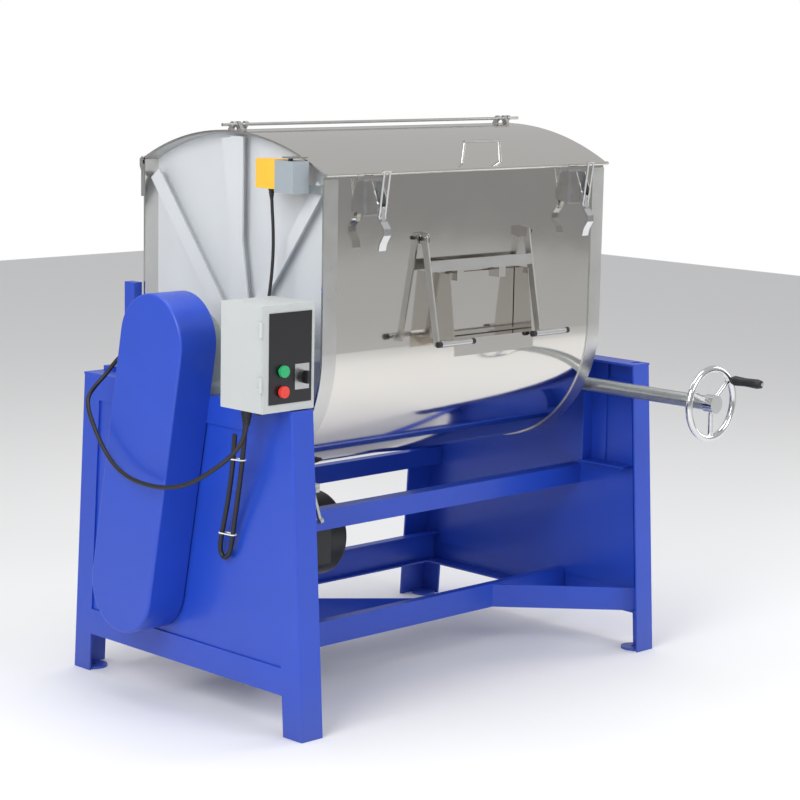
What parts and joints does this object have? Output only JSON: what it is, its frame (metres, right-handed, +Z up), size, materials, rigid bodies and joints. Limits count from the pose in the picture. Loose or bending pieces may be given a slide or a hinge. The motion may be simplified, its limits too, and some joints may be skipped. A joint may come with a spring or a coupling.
{
  "type": "ribbon blender",
  "caption": "Tilting horizontal ribbon blender: stainless U-shaped drum with arched lid on blue folded-sheet stands, guarded chain drive and handwheel.",
  "frame": {"origin": "middle of the four foot bolts, on the floor", "axes": "+X along the drum axis from the chain drive to the worm gear, -Y the front with the discharge gate, +Z up"},
  "size_m": [1.4552, 1.251, 1.441],
  "materials": {
    "blue_paint": "satin",
    "grey_paint": "satin",
    "mirror_stainless": "polished",
    "satin_stainless": "satin",
    "cast_grey": "painted",
    "galvanised": "satin",
    "dark_steel": "oiled",
    "polished_steel": "polished",
    "black_paint": "satin",
    "box_paint": "textured",
    "black_plastic": "matte",
    "panel_film": "gloss",
    "green_plastic": "gloss",
    "red_plastic": "gloss",
    "yellow_plastic": "gloss",
    "cord_rubber": "matte",
    "tie_nylon": "matte",
    "aluminium_face": "satin"
  },
  "bodies": {
    "frame": {"left_side_frame": "blue_paint", "right_side_frame": "blue_paint", "side_panels": "blue_paint", "top_plates": "blue_paint", "foot_pads": "blue_paint", "upper_beams": "blue_paint", "lower_beams": "blue_paint", "diagonal_braces": "blue_paint", "back_stop": "blue_paint", "adjusting_bolts": "galvanised", "motor_mount": "blue_paint", "gearmotor": "black_paint", "terminal_box": "black_plastic", "roller_chain": "dark_steel", "chain_guard": "blue_paint", "guard_backplate": "blue_paint", "bearing_housings": "cast_grey", "worm_gearbox": "cast_grey", "control_box": "box_paint", "cable_glands": "black_plastic", "motor_cord": "cord_rubber", "supply_cord": "cord_rubber", "switch_cord": "cord_rubber", "cable_ties": "tie_nylon"},
    "drum": {"drum_shell": "mirror_stainless", "end_walls": "grey_paint", "drum_rims": "satin_stainless", "end_straps": "grey_paint", "trunnions": "satin_stainless", "rear_cover": "mirror_stainless", "lid_hinge": "satin_stainless", "latch_brackets": "satin_stainless", "chute": "mirror_stainless", "limit_switch": "yellow_plastic", "switch_bracket": "galvanised", "rear_clamp": "satin_stainless"},
    "lid": {"front_lid": "mirror_stainless", "lid_handle": "satin_stainless"},
    "left_lever": {"left_latch_lever": "polished_steel"},
    "right_lever": {"right_latch_lever": "polished_steel"},
    "left_hook": {"left_latch_hook": "polished_steel"},
    "right_hook": {"right_latch_hook": "polished_steel"},
    "gate": {"gate_plate": "mirror_stainless", "gate_frame": "satin_stainless"},
    "agitator": {"agitator_shaft": "satin_stainless", "outer_ribbons": "satin_stainless", "inner_ribbons": "satin_stainless", "agitator_spokes": "satin_stainless", "driven_sprocket": "dark_steel"},
    "drive": {"drive_sprocket": "dark_steel"},
    "wheel": {"handwheel": "polished_steel", "handwheel_tube": "galvanised"},
    "grip": {"handwheel_grip": "black_plastic"},
    "door": {"control_door": "box_paint", "panel_plate": "panel_film", "switch_escutcheon": "aluminium_face"},
    "start": {"start_button": "green_plastic"},
    "stop": {"stop_button": "red_plastic"},
    "knob": {"selector_knob": "black_plastic"},
    "plunger": {"switch_plunger": "black_plastic"}
  },
  "joints": [
    {"name": "drum_tilt", "type": "hinge", "parent": "frame", "child": "drum", "pos_m": [0, 0, 0.9], "axis": [1, 0, 0], "range_deg": [0, 90], "deforming": ["switch_cord"]},
    {"name": "agitator_spin", "type": "hinge", "parent": "drum", "child": "agitator", "pos_m": [0, 0, 0.9], "axis": [1, 0, 0], "continuous": true, "deforming": ["roller_chain"]},
    {"name": "drive_spin", "type": "hinge", "parent": "frame", "child": "drive", "pos_m": [-0.71, 0.1092, 0.2745], "axis": [1, 0, 0], "continuous": true},
    {"name": "handwheel_spin", "type": "hinge", "parent": "frame", "child": "wheel", "pos_m": [0.545, -0.4, 0.725], "axis": [0, -1, 0], "range_deg": [0, 5400]},
    {"name": "grip_spin", "type": "hinge", "parent": "wheel", "child": "grip", "pos_m": [0.61671, -0.75, 0.78102], "axis": [0, -1, 0], "continuous": true},
    {"name": "lid_hinge", "type": "hinge", "parent": "drum", "child": "lid", "pos_m": [0, 0, 1.433], "axis": [-1, 0, 0], "range_deg": [0, 105]},
    {"name": "left_latch_lever", "type": "hinge", "parent": "drum", "child": "left_lever", "pos_m": [-0.352, -0.375, 1.245], "axis": [-1, 0, 0], "range_deg": [0, 105]},
    {"name": "left_latch_hook", "type": "hinge", "parent": "left_lever", "child": "left_hook", "pos_m": [-0.352, -0.381, 1.225], "axis": [-1, 0, 0], "range_deg": [-105, 0]},
    {"name": "right_latch_lever", "type": "hinge", "parent": "drum", "child": "right_lever", "pos_m": [0.385, -0.375, 1.245], "axis": [-1, 0, 0], "range_deg": [0, 105]},
    {"name": "right_latch_hook", "type": "hinge", "parent": "right_lever", "child": "right_hook", "pos_m": [0.385, -0.381, 1.225], "axis": [-1, 0, 0], "range_deg": [-105, 0]},
    {"name": "gate_hinge", "type": "hinge", "parent": "drum", "child": "gate", "pos_m": [0.007, -0.355, 1.165], "axis": [-1, 0, 0], "range_deg": [0, 75]},
    {"name": "door_hinge", "type": "hinge", "parent": "frame", "child": "door", "pos_m": [-0.7426, -0.3935, 0.9], "axis": [0, 0, -1], "range_deg": [0, 110]},
    {"name": "start_press", "type": "slide", "parent": "door", "child": "start", "axis": [0, 1, 0], "range_m": [0, 0.003], "stiffness_N_per_m": 400},
    {"name": "stop_press", "type": "slide", "parent": "door", "child": "stop", "axis": [0, 1, 0], "range_m": [0, 0.003], "stiffness_N_per_m": 400},
    {"name": "knob_turn", "type": "hinge", "parent": "door", "child": "knob", "pos_m": [-0.618, -0.4, 0.87], "axis": [0, -1, 0], "range_deg": [-45, 45]},
    {"name": "plunger_press", "type": "slide", "parent": "drum", "child": "plunger", "axis": [0, 0, -1], "range_m": [0, 0.004], "stiffness_N_per_m": 400}
  ],
  "couplings": [
    {"joint": "drive_spin", "follows": "agitator_spin", "ratio": 1},
    {"joint": "handwheel_spin", "follows": "drum_tilt", "ratio": 60},
    {"joint": "left_latch_hook", "follows": "left_latch_lever", "ratio": -1},
    {"joint": "right_latch_hook", "follows": "right_latch_lever", "ratio": -1}
  ]
}
